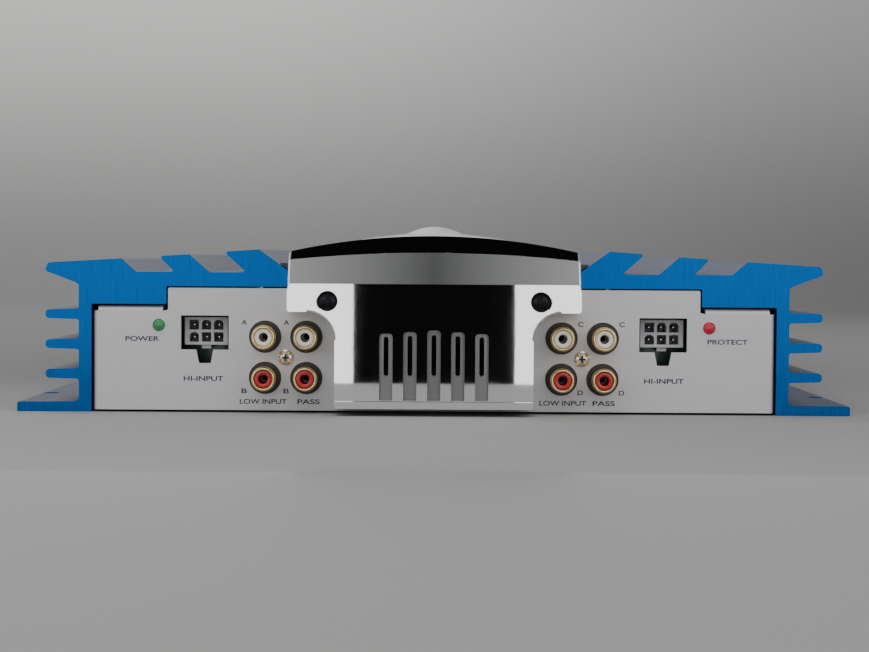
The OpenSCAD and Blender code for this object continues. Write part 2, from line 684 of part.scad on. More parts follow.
module driver_chips() color("#17181a") for (x = [-80, 66], y = [-30, 10, 50])
    translate([x, y, board_top + 0.05]) block([0, 9], [-5, 5], [0, 4]);

// ---- Power terminals ----

module power_places() for (i = [-1 : 1]) translate([power_x + i * power_pitch, 0, 0]) children();
power_port_z = 12;
module power_block() color("#17181a") at_power_end() difference() {
    block([power_x - 20.7, power_x + 20.7], from_end(-terminal_out, terminal_back), [5.8, 22.2]);
    power_places() {
        block([-5.1, 5.1], from_end(-terminal_out + 1.5, terminal_back + 1), [6.9, 18.1]);
        translate([0, 0, power_port_z]) rod(8.4, -end_y - terminal_out - 1, 4);
        translate([0, -end_y - 3, 14]) cylinder(d = 7, h = 12);
    }
}
module power_clamps() color("#b9bbbe") at_power_end() power_places() difference() {
    union() {
        block([-5, 5], from_end(-terminal_out + 1.7, 14), [7, 18]);
        block([-3, 3], from_end(13, boards_from_end + 6), [board_top + 0.05, board_top + 1.2]);
    }
    translate([0, 0, power_port_z]) rod(7, -end_y - terminal_out, 20);
    translate([0, -end_y - 3, power_port_z]) cylinder(d = 5, h = 12);
}
module set_screw(d, h) difference() {
    cylinder(d = d, h = h);
    translate([-d, -0.4, h - 1]) cube([2 * d, 0.8, 2]);
}
module power_clamp_screws() color("#8d9094") at_power_end() power_places()
    translate([0, -end_y - 3, power_port_z + 3.6]) set_screw(5, 6);

// ---- Speaker terminals ----

module speaker_places() for (i = [-3.5 : 3.5]) translate([speaker_x + i * speaker_pitch, 0, 0]) children();
speaker_port_z = 11;
module speaker_block() color("#17181a") at_power_end() difference() {
    block([speaker_x - 29.7, speaker_x + 29.7], from_end(-terminal_out, terminal_back), [5.8, 19.2]);
    speaker_places() {
        block([-2.6, 2.6], from_end(-terminal_out + 1.5, terminal_back + 1), [7.9, 15.1]);
        translate([0, 0, speaker_port_z]) rod(4.4, -end_y - terminal_out - 1, 4);
        translate([0, -end_y - 4, 13]) cylinder(d = 4.4, h = 12);
    }
}
module speaker_clamps() color("#b9bbbe") at_power_end() speaker_places() difference() {
    union() {
        block([-2.5, 2.5], from_end(-terminal_out + 1.7, 10), [8, 15]);
        block([-1.5, 1.5], from_end(9, boards_from_end + 4), [board_top + 0.05, board_top + 0.9]);
    }
    translate([0, 0, speaker_port_z]) rod(3.6, -end_y - terminal_out, 15);
    translate([0, -end_y - 4, speaker_port_z]) cylinder(d = 3, h = 12);
}
module speaker_clamp_screws() color("#8d9094") at_power_end() speaker_places()
    translate([0, -end_y - 4, speaker_port_z + 1.9]) set_screw(3, 5.4);

// ---- Fuses ----

module fuse_holder() color("#17181a") at_power_end() difference() {
    block([fuse_x - 8.2, fuse_x + 8.2], from_end(-3, terminal_back), [5.8, 30.2]);
    for (i = [-0.5, 0.5]) translate([fuse_x + i * fuse_pitch, 0, fuse_z]) {
        block([-3, 3], from_end(-4, 8), [-10, 10]);
        for (s = [-1, 1]) block([-1.6, 1.6], from_end(7, terminal_back + 1), around(s * 6, 3.2));
    }
}
module fuse_clips() color("#b9bbbe") at_power_end() for (i = [-0.5, 0.5], s = [-1, 1])
    translate([fuse_x + i * fuse_pitch, 0, fuse_z + s * 6]) difference() {
        block([-1.5, 1.5], from_end(9, 19.5), [-3, 3]);
        block([-0.65, 0.65], from_end(8, 18.5), [-4, 4]);
    }
module blade_fuse(i) color("#4fae62") at_power_end() translate([fuse_x + i * fuse_pitch, 0, fuse_z]) {
    side_plate(-fuse_t / 2, fuse_t) polygon(rounded([
        [-end_y - 9, -fuse_w / 2, 1], [-end_y - 9, fuse_w / 2, 1], [-end_y - 3, fuse_w / 2, 0.5],
        [-end_y + 7.5, fuse_w / 2 - 2, 0.5], [-end_y + 7.5, -fuse_w / 2 + 2, 0.5],
        [-end_y - 3, -fuse_w / 2, 0.5]
    ]));
    for (s = [-1, 1]) side_plate(-0.33, 0.66) translate([0, s * 6]) polygon([
        [-end_y + 7, -2.6], [-end_y + 7, 2.6], [-end_y + 16, 2.6], [-end_y + 17.5, 1.4],
        [-end_y + 17.5, -1.4], [-end_y + 16, -2.6]
    ]);
}
module fuse_a() blade_fuse(-0.5);
module fuse_b() blade_fuse(0.5);

// ---- Controls ----

control_face = 1.9;
control_deep = 6.5;
module control_board() color("#1f6b46") at_power_end()
    block(around(control_mid_x, 33), from_control(control_deep + 0.1, control_deep + 0.1 + board_t),
        [21, 34.5]);
module control_link() color("#202124") at_power_end() {
    y = -end_y + control_face + control_deep + 0.1 + board_t;
    block(around(control_mid_x, 14), [y + 0.05, -end_y + boards_from_end + 9], [21.5, 25]);
    block(around(control_mid_x, 14), from_end(boards_from_end + 5, boards_from_end + 9),
        [board_top + 0.05, 22]);
}
module pot_bodies() color("#3a3c3f") at_power_end() for (i = [0, 1, 4, 5])
    translate([control_x[i], 0, control_z]) difference() {
        block([-4.8, 4.8], from_control(0, control_deep), [-5.5, 5]);
        rod(knob_d + 0.1, -end_y, control_face + 4.6);
    }
module shaft(i) color("#1d1e20") at_power_end() translate([control_x[i], 0, control_z]) difference() {
    rod(knob_d, -end_y - 2.5, control_face + 6.7);
    block([-5, 5], from_end(-4, -1.5), [-0.5, 0.5]);
    // flat that shows which way the shaft points
    block([-5, 5], from_end(-4, -0.6), [2.5, 5]);
}
module gain_shaft_ab() shaft(0);
module filter_shaft_ab() shaft(1);
module filter_shaft_cd() shaft(4);
module gain_shaft_cd() shaft(5);
module switch_bodies() color("#aeb1b5") at_power_end() for (i = [2, 3])
    translate([control_x[i], 0, control_z]) difference() {
        block([-5, 5], from_control(0, control_deep), [-3.6, 3.6]);
        block([-4.2, 4.2], from_control(0.8, 5), [-2.4, 2.4]);
        block([-3.4, 3.4], from_control(-1, 2), [-1.3, 1.3]);
    }
module slider(i) color("#1d1e20") at_power_end() translate([control_x[i], 0, control_z]) {
    block([-1, 1], from_end(-1.8, control_face + 2), [-1, 1]);
    block([-1.6, 1.6], from_control(1.1, 4.6), [-2.1, 2.1]);
}
module filter_slider_ab() slider(2);
module filter_slider_cd() slider(3);

heatsink();
base_plate();
front_panel();
rear_panel();
front_cap();
rear_cap();
top_cover();
cover_boss();
cover_seals();
cap_screws();
base_screws();
jack_screws();
jack_block_left();
jack_block_right();
jack_collars();
white_inserts();
red_inserts();
jack_contacts();
input_socket_left();
input_socket_right();
socket_pins();
power_lamp();
protect_lamp();
input_board();
board_link();
main_board();
standoffs();
board_screws();
ring_cores();
ring_windings();
filter_capacitors();
rail_capacitors();
supply_choke();
supply_transistors();
output_transistors();
insulator_strips();
clamp_bars();
clamp_screws();
driver_chips();
power_block();
power_clamps();
power_clamp_screws();
speaker_block();
speaker_clamps();
speaker_clamp_screws();
fuse_holder();
fuse_clips();
fuse_a();
fuse_b();
control_board();
control_link();
pot_bodies();
gain_shaft_ab();
filter_shaft_ab();
filter_shaft_cd();
gain_shaft_cd();
switch_bodies();
filter_slider_ab();
filter_slider_cd();
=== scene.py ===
"""Looks for a four-channel car amplifier: finned case, folded end panels, bright centre cover."""

import json
from math import cos, pi, radians, sin, tau

import bmesh
import bpy
from mathutils import Matrix, Vector


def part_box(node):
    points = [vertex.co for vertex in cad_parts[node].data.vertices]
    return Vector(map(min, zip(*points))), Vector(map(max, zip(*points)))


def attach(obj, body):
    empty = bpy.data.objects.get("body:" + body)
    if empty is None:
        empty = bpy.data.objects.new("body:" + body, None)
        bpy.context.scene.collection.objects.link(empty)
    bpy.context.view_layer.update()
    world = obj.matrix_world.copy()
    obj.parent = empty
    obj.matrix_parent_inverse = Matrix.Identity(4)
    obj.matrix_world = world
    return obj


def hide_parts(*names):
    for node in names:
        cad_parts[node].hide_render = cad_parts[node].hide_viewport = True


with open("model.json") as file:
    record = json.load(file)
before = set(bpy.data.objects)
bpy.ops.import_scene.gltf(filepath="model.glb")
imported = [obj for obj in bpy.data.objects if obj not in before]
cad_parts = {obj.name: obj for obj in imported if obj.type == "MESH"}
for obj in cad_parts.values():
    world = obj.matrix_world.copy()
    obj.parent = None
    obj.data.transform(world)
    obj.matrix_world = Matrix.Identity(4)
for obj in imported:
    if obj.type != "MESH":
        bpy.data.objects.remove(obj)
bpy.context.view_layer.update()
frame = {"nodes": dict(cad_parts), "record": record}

MM = 0.001
SLOT_OF = {s["node"]: s["material_slot"] for s in frame["record"]["subparts"]}
BODY_OF = {n: b for b, members in frame["record"]["behaviour"]["bodies"].items() for n in members}


# ---- Shared shader effects ----


def new_group(name, inputs, outputs):
    """A shader group with its sockets; returns its node tree, its inlet and its outlet."""
    tree = bpy.data.node_groups.new(name, "ShaderNodeTree")
    for socket, kind, value in inputs:
        item = tree.interface.new_socket(socket, in_out="INPUT", socket_type=kind)
        item.default_value = value
    for socket, kind in outputs:
        tree.interface.new_socket(socket, in_out="OUTPUT", socket_type=kind)
    return tree, tree.nodes.new("NodeGroupInput"), tree.nodes.new("NodeGroupOutput")


def add_math(tree, operation, a, b, clamp=False):
    node = tree.nodes.new("ShaderNodeMath")
    node.operation = operation
    node.use_clamp = clamp
    for socket, value in zip(node.inputs, (a, b)):
        if isinstance(value, (int, float)):
            socket.default_value = value
        else:
            tree.links.new(value, socket)
    return node.outputs[0]


def split(tree, vector):
    """A vector's X, Y and Z outputs, by name."""
    node = tree.nodes.new("ShaderNodeSeparateXYZ")
    tree.links.new(vector, node.inputs[0])
    return node.outputs


def own_place(tree):
    """Each shaded point's place in its own object, in metres."""
    return tree.nodes.new("ShaderNodeTexCoord").outputs["Object"]


def add_noise(tree, vector, scale=1.0, detail=3.0, rough=0.55):
    node = tree.nodes.new("ShaderNodeTexNoise")
    node.inputs["Scale"].default_value = scale
    node.inputs["Detail"].default_value = detail
    node.inputs["Roughness"].default_value = rough
    tree.links.new(vector, node.inputs["Vector"])
    return node.outputs["Fac"]


def grain_group():
    """Noise whose cells have a size of their own along each axis, for paint texture or drawn lines."""
    tree, inlet, outlet = new_group(
        "Grain",
        [("Cells per metre", "NodeSocketVector", (1000, 1000, 1000)), ("Contrast", "NodeSocketFloat", 1.0)],
        [("Mask", "NodeSocketFloat")],
    )
    scale = tree.nodes.new("ShaderNodeVectorMath")
    scale.operation = "MULTIPLY"
    tree.links.new(own_place(tree), scale.inputs[0])
    tree.links.new(inlet.outputs["Cells per metre"], scale.inputs[1])
    noise = add_noise(tree, scale.outputs[0])
    centred = add_math(tree, "SUBTRACT", noise, 0.5)
    spread = add_math(tree, "MULTIPLY", centred, inlet.outputs["Contrast"])
    tree.links.new(add_math(tree, "ADD", spread, 0.5, clamp=True), outlet.inputs["Mask"])
    return tree


def region_group():
    """Mask of the space within a box that is mirrored about the middle of X and of Y."""
    tree, inlet, outlet = new_group(
        "Region",
        [("Low", "NodeSocketVector", (0, 0, 0)), ("High", "NodeSocketVector", (1, 1, 1))],
        [("Mask", "NodeSocketFloat")],
    )
    folded = tree.nodes.new("ShaderNodeVectorMath")
    folded.operation = "ABSOLUTE"
    tree.links.new(own_place(tree), folded.inputs[0])
    at = split(tree, folded.outputs[0])
    low = split(tree, inlet.outputs["Low"])
    high = split(tree, inlet.outputs["High"])
    mask = 1.0
    for axis in "XYZ":
        for test, limit in (("GREATER_THAN", low[axis]), ("LESS_THAN", high[axis])):
            mask = add_math(tree, "MULTIPLY", add_math(tree, test, at[axis], limit), mask)
    tree.links.new(mask, outlet.inputs["Mask"])
    return tree


def dust_group():
    """Mask of thin dust that settles on faces that look up."""
    tree, inlet, outlet = new_group(
        "Dust",
        [("Amount", "NodeSocketFloat", 0.2)],
        [("Mask", "NodeSocketFloat")],
    )
    geometry = tree.nodes.new("ShaderNodeNewGeometry")
    normal = split(tree, geometry.outputs["Normal"])
    patches = add_noise(tree, own_place(tree), scale=60.0, detail=6.0)
    up = add_math(tree, "MULTIPLY", normal["Z"], inlet.outputs["Amount"], clamp=True)
    tree.links.new(add_math(tree, "MULTIPLY", up, patches, clamp=True), outlet.inputs["Mask"])
    return tree


GRAIN = grain_group()
REGION = region_group()
DUST = dust_group()


# ---- Materials ----

# The vent channels' floors and the jack screws' cross recesses, where painted shade darkens the colour, as
# (low, high) corners of |x|, |y|, z
VENT_FLOORS = ((-1, 0.1885, 0.0049), (0.0187, 0.1914, 0.0292))
CROSS_RECESSES = ((0.0490, 0.1799, 0.0175), (0.0516, 0.1808, 0.0202))


class Finish:
    """A material in the making: its Principled shader, and short ways to feed it."""

    def __init__(self, name, base, rough, metal=0.0, **sockets):
        self.material = bpy.data.materials.new(name)
        self.material.use_nodes = True
        self.tree = self.material.node_tree
        self.shader = self.tree.nodes["Principled BSDF"]
        self.set("Base Color", (*base, 1.0))
        self.set("Roughness", rough)
        self.set("Metallic", metal)
        for socket, value in sockets.items():
            self.set(socket.replace("_", " "), value)

    def set(self, socket, value):
        self.shader.inputs[socket].default_value = value

    def effect(self, tree, **values):
        node = self.tree.nodes.new("ShaderNodeGroup")
        node.node_tree = tree
        for socket, value in values.items():
            node.inputs[socket.replace("_", " ")].default_value = value
        return node.outputs[0]

    def grain(self, cells, contrast=1.0):
        return self.effect(GRAIN, Cells_per_metre=cells, Contrast=contrast)

    def within(self, corners):
        return self.effect(REGION, Low=corners[0], High=corners[1])

    def mix(self, mask, a, b):
        node = self.tree.nodes.new("ShaderNodeMix")
        node.data_type = "RGBA"
        self.tree.links.new(mask, node.inputs["Factor"])
        for socket, value in (("A", a), ("B", b)):
            target = [s for s in node.inputs if s.name == socket and s.type == "RGBA"][0]
            if isinstance(value, tuple):
                target.default_value = (*value, 1.0)
            else:
                self.tree.links.new(value, target)
        return [s for s in node.outputs if s.type == "RGBA"][0]

    def span(self, mask, low, high):
        node = self.tree.nodes.new("ShaderNodeMapRange")
        self.tree.links.new(mask, node.inputs["Value"])
        node.inputs["To Min"].default_value = low
        node.inputs["To Max"].default_value = high
        return node.outputs[0]

    def ramp(self, value, start, end):
        """From 0 at start to 1 at end, with soft ends."""
        node = self.tree.nodes.new("ShaderNodeMapRange")
        node.interpolation_type = "SMOOTHSTEP"
        self.tree.links.new(value, node.inputs["Value"])
        node.inputs["From Min"].default_value = start
        node.inputs["From Max"].default_value = end
        return node.outputs[0]

    def feed(self, output, socket):
        self.tree.links.new(output, self.shader.inputs[socket])

    def bump(self, height, depth, strength=1.0):
        node = self.tree.nodes.new("ShaderNodeBump")
        node.inputs["Distance"].default_value = depth
        node.inputs["Strength"].default_value = strength
        self.tree.links.new(height, node.inputs["Height"])
        self.feed(node.outputs["Normal"], "Normal")

    def facing(self, axis):
        """1 where the surface faces squarely along an axis, either way, and 0 elsewhere."""
        geometry = self.tree.nodes.new("ShaderNodeNewGeometry")
        normal = split(self.tree, geometry.outputs["True Normal"])
        size = add_math(self.tree, "ABSOLUTE", normal[axis], 0.0)
        return add_math(self.tree, "GREATER_THAN", size, 0.9)


def blue_anodised():
    """Drawn lines run along the extrusion; the sawn ends are paler, with upright saw lines."""
    f = Finish("blue_anodised", (0.003, 0.13, 0.40), 0.3, 0.96, Coat_Roughness=0.16, Specular_IOR_Level=0.2)
    f.set("Specular Tint", (0.6, 0.51, 0.44, 1.0))
    sawn = f.facing("Y")
    drawn = f.grain((2600, 6, 2600), 1.6)
    saw = f.grain((2400, 1, 90), 1.8)
    along = f.mix(drawn, (0.002, 0.075, 0.26), (0.004, 0.125, 0.38))
    ends = f.mix(saw, (0.0001, 0.060, 0.228), (0.0006, 0.105, 0.342))
    tone = f.mix(sawn, along, ends)
    f.feed(f.span(sawn, 0.35, 0.0), "Coat Weight")
    f.feed(f.mix(f.effect(DUST, Amount=0.1), tone, (0.3, 0.3, 0.29)), "Base Color")
    lines = f.mix(sawn, drawn, saw)
    f.feed(f.span(lines, 0.24, 0.42), "Roughness")
    f.bump(lines, 0.00004, 0.5)
    return f.material


def grey_panel():
    """Silver-grey paint with a fine sprayed texture."""
    f = Finish("grey_panel", (0.42, 0.42, 0.43), 0.5, 0.35)
    speckle = f.grain((2200, 2200, 2200), 1.2)
    f.feed(f.mix(speckle, (0.47, 0.465, 0.485), (0.56, 0.555, 0.575)), "Base Color")
    f.feed(f.span(speckle, 0.42, 0.6), "Roughness")
    f.bump(speckle, 0.00005, 0.35)
    return f.material


def bright_plating():
    """Mirror plating over a moulding, with satin floors in the vent channels whose darker colour is painted
    shade in the recesses.
    """
    f = Finish("bright_plating", (0.9, 0.91, 0.92), 0.03, 1.0)
    vents = f.within(VENT_FLOORS)
    wipe = f.span(f.grain((300, 300, 40), 1.5), 0.02, 0.05)
    f.feed(f.mix(vents, wipe, (0.34, 0.34, 0.34)), "Roughness")
    clean = f.mix(f.effect(DUST, Amount=0.06), (0.9, 0.91, 0.92), (0.6, 0.6, 0.59))
    # Painted shade: the vent channels' recessed floors take a dark grey colour
    f.feed(f.mix(vents, clean, (0.30, 0.30, 0.31)), "Base Color")
    f.bump(f.grain((45, 45, 30), 1.0), 0.00006, 0.25)
    return f.material


def plated(name, low, high, rough, cells=(2500, 2500, 2500)):
    """Plated or bare metal with small changes of tone."""
    f = Finish(name, high, rough, 1.0)
    tone = f.grain(cells, 0.8)
    f.feed(f.mix(tone, low, high), "Base Color")
    f.feed(f.span(tone, rough * 0.85, rough * 1.2), "Roughness")
    f.bump(tone, 0.00001, 0.2)
    return f.material


def nickel():
    """Warm nickel plate, with painted shade darkening the bottom of the jack screws' cross recesses."""
    f = Finish("nickel", (0.7, 0.65, 0.6), 0.2, 1.0)
    tone = f.grain((2500, 2500, 2500), 0.8)
    plate = f.mix(tone, (0.58, 0.52, 0.48), (0.80, 0.74, 0.70))
    # Painted shade: near-black at the bottom of the cross recesses
    f.feed(f.mix(f.within(CROSS_RECESSES), plate, (0.03, 0.025, 0.025)), "Base Color")
    f.feed(f.span(tone, 0.16, 0.28), "Roughness")
    return f.material


def moulded(name, low, high, rough, coat=0.0, cells=(3000, 3000, 3000)):
    """Moulded plastic with a fine texture."""
    f = Finish(name, high, rough, 0.0, Coat_Weight=coat)
    tone = f.grain(cells, 1.6)
    f.feed(f.mix(tone, low, high), "Base Color")
    f.feed(f.span(tone, rough * 0.85, rough * 1.15), "Roughness")
    f.bump(tone, 0.00003, 0.3)
    return f.material


def tinted(name, low, high, glow):
    """Tinted lens or fuse body: some light passes, with a faint glow for a lit lamp."""
    f = Finish(name, high, 0.12, 0.0, Transmission_Weight=0.35, IOR=1.5, Emission_Strength=glow)
    f.set("Emission Color", (*high, 1.0))
    f.feed(f.mix(f.grain((400, 400, 400), 1.4), low, high), "Base Color")
    return f.material


def circuit_board():
    """Green solder mask with paler copper tracks under it."""
    f = Finish("board_green", (0.01, 0.09, 0.04), 0.3, 0.0, Coat_Weight=0.3)
    brick = f.tree.nodes.new("ShaderNodeTexBrick")
    f.tree.links.new(own_place(f.tree), brick.inputs["Vector"])
    brick.inputs["Scale"].default_value = 160.0
    brick.inputs["Mortar Size"].default_value = 0.012
    brick.inputs["Color1"].default_value = (0.010, 0.085, 0.035, 1)
    brick.inputs["Color2"].default_value = (0.012, 0.10, 0.042, 1)
    brick.inputs["Mortar"].default_value = (0.03, 0.17, 0.07, 1)
    f.feed(f.mix(f.grain((500, 500, 500), 1.2), brick.outputs["Color"], (0.012, 0.1, 0.045)), "Base Color")
    f.feed(f.span(f.grain((900, 900, 900)), 0.22, 0.4), "Roughness")
    return f.material


def make_finishes():
    return {
        "blue_anodised": blue_anodised(),
        "grey_panel": grey_panel(),
        "bright_plating": bright_plating(),
        "black_steel": plated("black_steel", (0.012, 0.012, 0.014), (0.03, 0.03, 0.034), 0.32),
        "nickel": nickel(),
        "gilt": plated("gilt", (0.72, 0.52, 0.20), (0.93, 0.74, 0.38), 0.16),
        # Painted shade: the jacks' centre contacts are near-black metal, standing in for the shade deep in
        # their bores
        "dark_contact": plated("dark_contact", (0.012, 0.010, 0.014), (0.03, 0.026, 0.03), 0.5),
        "brass": plated("brass", (0.60, 0.42, 0.14), (0.76, 0.56, 0.24), 0.25),
        "enamelled_wire": plated(
            "enamelled_wire", (0.42, 0.13, 0.04), (0.66, 0.26, 0.09), 0.3, (900, 900, 900)
        ),
        "black_plastic": moulded("black_plastic", (0.008, 0.008, 0.009), (0.017, 0.017, 0.018), 0.42),
        "white_plastic": moulded("white_plastic", (0.78, 0.75, 0.66), (0.84, 0.81, 0.73), 0.3, 0.3),
        "red_plastic": moulded("red_plastic", (0.36, 0.006, 0.010), (0.44, 0.010, 0.014), 0.3, 0.3),
        "grey_nylon": moulded("grey_nylon", (0.50, 0.505, 0.53), (0.60, 0.605, 0.63), 0.45),
        "ferrite": moulded("ferrite", (0.02, 0.02, 0.022), (0.04, 0.04, 0.043), 0.6),
        "blue_sleeve": moulded("blue_sleeve", (0.012, 0.02, 0.09), (0.016, 0.028, 0.12), 0.25, 0.2),
        "green_lens": tinted("green_lens", (0.03, 0.22, 0.07), (0.06, 0.32, 0.11), 0.15),
        "red_lens": tinted("red_lens", (0.45, 0.01, 0.04), (0.62, 0.02, 0.06), 0.15),
        "fuse_green": tinted("fuse_green", (0.02, 0.32, 0.09), (0.04, 0.42, 0.14), 0.0),
        "board_green": circuit_board(),
    }


FINISHES = make_finishes()


# ---- Mesh helpers ----

# Edges that bend less than this, in degrees, are shaded smooth
SHARP_ANGLE = 32.0
# Sheets with many holes keep their triangles, since one face cannot hold all the holes
PIERCED = {"front_panel", "rear_panel"}


def new_piece(name, mesh, node, slot=None):
    """Links a mesh as a piece that rides with a CAD node's body and takes a slot's finish."""
    piece = bpy.data.objects.new(name, mesh)
    bpy.context.scene.collection.objects.link(piece)
    slot = slot or SLOT_OF[node]
    mesh.materials.clear()
    mesh.materials.append(FINISHES[slot])
    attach(piece, BODY_OF[node])
    return piece


def smooth(mesh, angle):
    mesh.shade_smooth()
    mesh.set_sharp_from_angle(angle=radians(angle))


def soften(piece, width, segments, angle):
    """Rounds a piece's edges, to a width in mm, and keeps its flat faces looking flat."""
    bevel = piece.modifiers.new("soft_edges", "BEVEL")
    bevel.width = width * MM
    bevel.segments = segments
    bevel.limit_method = "ANGLE"
    bevel.angle_limit = radians(angle)
    bevel.miter_outer = "MITER_ARC"
    bevel.harden_normals = True
    level = piece.modifiers.new("flat_faces", "WEIGHTED_NORMAL")
    level.weight = 100
    level.keep_sharp = True


def clean_copy(node, angle=SHARP_ANGLE):
    """A copy of a CAD node's mesh with its seams joined and its flat faces whole."""
    mesh = frame["nodes"][node].data.copy()
    mesh.name = node
    work = bmesh.new()
    work.from_mesh(mesh)
    bmesh.ops.remove_doubles(work, verts=work.verts, dist=0.002 * MM)
    if node not in PIERCED:
        bmesh.ops.dissolve_limit(
            work, angle_limit=radians(0.6), verts=work.verts, edges=work.edges, use_dissolve_boundaries=False
        )
    bmesh.ops.recalc_face_normals(work, faces=work.faces)
    work.to_mesh(mesh)
    work.free()
    if "custom_normal" in mesh.attributes:
        mesh.attributes.remove(mesh.attributes["custom_normal"])
    smooth(mesh, angle)
    return mesh


def refine(node, width, segments, angle=SHARP_ANGLE):
    """Stands for a CAD node with the same shape and softened edges."""
    piece = new_piece(node + "_finished", clean_copy(node, angle), node)
    soften(piece, width, segments, angle)
    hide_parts(node)


def keep(node):
    """Leaves a CAD node showing, with its proper finish."""
    item = frame["nodes"][node]
    item.data.materials.clear()
    item.data.materials.append(FINISHES[SLOT_OF[node]])


def lathe(outline, places, axis, steps=48):
    """Turns a closed outline of (along, radius) points in mm about an axis at each place, as one mesh."""
    work = bmesh.new()
    turn = Vector((0, 0, 1)).rotation_difference(axis).to_matrix()
    for place in places:
        rings = []
        for along, radius in outline:
            ring = []
            for k in range(steps):
                a = tau * k / steps
                point = Vector((radius * cos(a), radius * sin(a), along)) * MM
                ring.append(work.verts.new(place + turn @ point))
            rings.append(ring)
        for lower, upper in zip(rings, rings[1:] + rings[:1]):
            for k in range(steps):
                n = (k + 1) % steps
                work.faces.new((lower[k], lower[n], upper[n], upper[k]))
    bmesh.ops.recalc_face_normals(work, faces=work.faces)
    mesh = bpy.data.meshes.new("turned")
    work.to_mesh(mesh)
    work.free()
    smooth(mesh, 40.0)
    return mesh


# ---- Labels ----

# Sizes of the lettering, in mm
LETTER_SIZE = 2.277
LETTER_WEIGHT = 0.045
INK_THICKNESS = 0.01
INK_STANDOFF = 0.03
PANEL_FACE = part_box("front_panel")[0].y
INK = moulded("label_ink", (0.012, 0.014, 0.03), (0.02, 0.024, 0.05), 0.5)


def label(name, words, x, z, width):
    """Thin printed lettering on the input panel, centred on x and z, all in mm."""
    curve = bpy.data.curves.new(name, "FONT")
    curve.body = words
    curve.size = LETTER_SIZE * MM
    curve.extrude = INK_THICKNESS * MM
    curve.offset = LETTER_WEIGHT * MM
    maker = bpy.data.objects.new(name + "_maker", curve)
    bpy.context.scene.collection.objects.link(maker)
    bpy.context.view_layer.update()
    mesh = bpy.data.meshes.new_from_object(maker.evaluated_get(bpy.context.evaluated_depsgraph_get()))
    bpy.data.objects.remove(maker)
    across = [v.co.x for v in mesh.vertices]
    up = [v.co.y for v in mesh.vertices]
    middle = Vector(((min(across) + max(across)) / 2, (min(up) + max(up)) / 2, 0))
    mesh.transform(Matrix.Translation(-middle))
    stretch = width * MM / (max(across) - min(across))
    mesh.transform(Matrix.Diagonal((stretch, 1, 1, 1)))
    mesh.transform(Matrix.Rotation(pi / 2, 4, "X"))
    mesh.transform(Matrix.Translation((x * MM, PANEL_FACE - INK_STANDOFF * MM, z * MM)))
    new_piece(name, mesh, "front_panel", "black_plastic")
    mesh.materials[0] = INK


def print_labels():
    for side, x, words, width in ((-1, 99.0, "POWER", 11.5), (1, 99.7, "PROTECT", 13.7)):
        label("label_" + words.lower(), words, side * x, 24.95, width)
    for side, tag in ((-1, "left"), (1, "right")):
        label("label_hi_input_" + tag, "HI-INPUT", side * 78.2, 11.5, 13.5)
    for tag, low_x, pass_x in (("left", -57.9, -42.5), ("right", 43.9, 57.8)):
        label("label_low_input_" + tag, "LOW INPUT", low_x, 3.8, 16.0)
        label("label_pass_" + tag, "PASS", pass_x, 3.8, 7.6)
    for letters, places in (("AB", (-64.4, -50.1)), ("CD", (49.8, 63.8))):
        for i, x in enumerate(places):
            for letter, z in zip(letters, (30.7, 7.4)):
                label("label_%s_%d" % (letter.lower(), i + 1), letter, x, z, 1.9)


# ---- Phono jacks ----

# Middle of each block of four, and the distance between neighbours, in mm
JACK_MIDDLE = (50.3, 18.85)
JACK_PITCH = 14.0


def jack_places(rows):
    """Where the jacks' axes meet the panel; a row is 0.5 for the upper jacks and -0.5 for the lower."""
    places = []
    for side in (-1, 1):
        for column in (-0.5, 0.5):
            for row in rows:
                x = side * JACK_MIDDLE[0] + column * JACK_PITCH
                z = JACK_MIDDLE[1] + row * JACK_PITCH
                places.append(Vector((x * MM, PANEL_FACE, z * MM)))
    return places


def turned_jacks():
    """Collars with a rolled front rim, and inserts with a rounded mouth; along is out from the panel."""
    out = Vector((0, -1, 0))
    collar = [
        (-13.3, 3.55), (0, 3.55), (0, 4.15), (6.6, 4.15), (7.5, 4.06), (8.1, 3.86), (8.35, 3.66),
        (8.4, 3.5), (8.32, 3.3), (8.1, 3.16), (7.6, 3.12), (-2, 3.1), (-2, 2.5), (-13.3, 2.5)
    ]
    insert = [
        (-12, 2.45), (-1.5, 2.45), (-1.5, 3.04), (7.5, 3.04), (7.78, 2.98), (7.9, 2.82), (7.9, 1.95),
        (7.78, 1.66), (7.4, 1.56), (-2, 1.55), (-2, 1.1), (-12, 1.1)
    ]
    for node, outline, rows in (
        ("jack_collars", collar, (0.5, -0.5)),
        ("white_inserts", insert, (0.5,)),
        ("red_inserts", insert, (-0.5,)),
    ):
        piece = new_piece(node + "_turned", lathe(outline, jack_places(rows), out), node)
        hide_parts(node)


# ---- Bright caps ----

# Place and radius of the screw hole in each upper corner of a cap, in mm
CAP_SCREW = (35.7, 38.3)
CAP_SCREW_HOLE = 4.2
# Edges of a cap that bend more than this, in degrees, are rounded
CAP_BEND = 20.0


def on_side(x, y, z):
    """Whether a point, in mm, is on the outer side of a cap's face, bands or crown."""
    return abs(x) > 49.0 and z > 36.0 and (z > 50.0 or abs(y) > 187.3)


def on_outline(x, y, z):
    """Whether a point, in mm, is on the outline of a cap's upright face, between the jacks."""
    in_screw_hole = (abs(x) - CAP_SCREW[0]) ** 2 + (z - CAP_SCREW[1]) ** 2 < CAP_SCREW_HOLE ** 2
    return abs(y) > 191.9 and 33.1 < abs(x) < 47.9 and 4.85 < z < 44.0 and not in_screw_hole


def round_edges(work, chosen, width, segments):
    """Rounds the bent edges whose ends and middle are all in the chosen place."""
    edges = []
    for edge in work.edges:
        a, b = (v.co / MM for v in edge.verts)
        bent = edge.calc_face_angle(0.0) > radians(CAP_BEND)
        if bent and all(chosen(*point) for point in (a, b, (a + b) / 2)):
            edges.append(edge)
    bmesh.ops.bevel(
        work,
        geom=edges,
        offset=width * MM,
        segments=segments,
        profile=0.5,
        affect="EDGES",
        clamp_overlap=False,
    )


